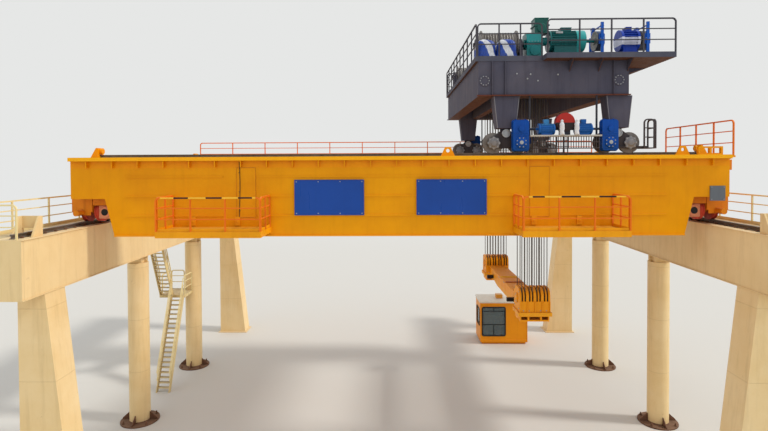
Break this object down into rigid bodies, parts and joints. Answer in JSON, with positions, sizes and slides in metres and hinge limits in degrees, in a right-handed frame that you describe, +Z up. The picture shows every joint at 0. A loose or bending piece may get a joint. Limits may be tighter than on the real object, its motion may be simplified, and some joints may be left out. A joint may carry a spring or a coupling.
{
  "type": "foundry overhead crane on its test runway",
  "caption": "Twin-girder foundry overhead crane with a hoist trolley and roped lifting beam, standing on a short cream test runway with columns and stair.",
  "frame": {"origin": "middle of the runway at floor level, at the centre of the bounding box's bottom", "axes": "+X along the bridge, +Y along the runway, +Z up"},
  "size_m": [26.6, 23, 17.82],
  "materials": {
    "cream_paint": "satin paint, weathered",
    "rail_steel": "rolled, worn bright on top",
    "rusty_steel": "rust",
    "girder_yellow": "satin paint",
    "railing_orange": "satin paint",
    "board_blue": "smooth sheet",
    "plate_grey": "matt",
    "primer_grey": "matt primer",
    "machine_blue": "gloss paint",
    "machine_teal": "gloss paint",
    "wheel_steel": "machined and dusty",
    "truck_orange": "satin paint",
    "rope_steel": "greased wire",
    "beam_orange": "satin paint",
    "black_steel": "matt",
    "cab_glass": "clear pane",
    "roof_white": "matt"
  },
  "bodies": {
    "stand": {"runway_beam_left": "cream_paint", "runway_beam_right": "cream_paint", "crane_rails": "rail_steel", "runway_stops": "cream_paint", "columns_left": "cream_paint", "columns_right": "cream_paint", "column_bases": "rusty_steel", "end_legs_left": "cream_paint", "end_legs_right": "cream_paint", "runway_walkways": "cream_paint", "runway_railings": "cream_paint", "stair_lower_flight": "cream_paint", "stair_upper_flight": "cream_paint", "stair_landing": "cream_paint", "stair_railings": "cream_paint", "cab_shell": "beam_orange", "cab_roof": "roof_white", "cab_glass": "cab_glass"},
    "bridge": {"main_girder_front": "girder_yellow", "main_girder_back": "girder_yellow", "end_ties": "girder_yellow", "bridge_trucks": "truck_orange", "bridge_wheels": "truck_orange", "trolley_rails": "rail_steel", "trolley_stops": "girder_yellow", "platform_left": "girder_yellow", "platform_right": "girder_yellow", "platform_railing_left": "railing_orange", "platform_railing_right": "railing_orange", "bridge_railings": "railing_orange", "end_platform_right": "girder_yellow", "sign_boards": "board_blue", "end_plate": "plate_grey", "girder_lugs": "girder_yellow"},
    "trolley": {"trolley_front_beam": "primer_grey", "trolley_back_beam": "primer_grey", "trolley_cross_beams": "primer_grey", "trolley_deck": "primer_grey", "trolley_legs": "primer_grey", "trolley_bogies": "primer_grey", "trolley_wheels": "wheel_steel", "travel_gearboxes": "machine_blue", "travel_drives": "machine_blue", "rope_drums": "wheel_steel", "drum_pedestals": "primer_grey", "hoist_reducers": "machine_teal", "hoist_motors": "machine_teal", "second_motors": "machine_blue", "hoist_brakes": "machine_blue", "wrapped_reducers": "machine_blue", "deck_railings": "primer_grey", "upper_blocks": "primer_grey", "upper_sheaves": "wheel_steel", "hoist_ropes": "rope_steel"},
    "load_beam": {"lifting_beam": "beam_orange", "lower_block_front": "beam_orange", "lower_block_back": "beam_orange", "lower_sheaves": "wheel_steel", "lifting_trunnions": "black_steel"}
  },
  "joints": [
    {"name": "bridge_travel", "type": "slide", "parent": "stand", "child": "bridge", "axis": [0, 1, 0], "range_m": [-2.3, 5.9]},
    {"name": "trolley_travel", "type": "slide", "parent": "bridge", "child": "trolley", "axis": [1, 0, 0], "range_m": [-14.3, 1.5]},
    {"name": "hoist_lift", "type": "slide", "parent": "trolley", "child": "load_beam", "axis": [0, 0, 1], "range_m": [-1.5, 5.5], "deforming": ["hoist_ropes"]}
  ]
}
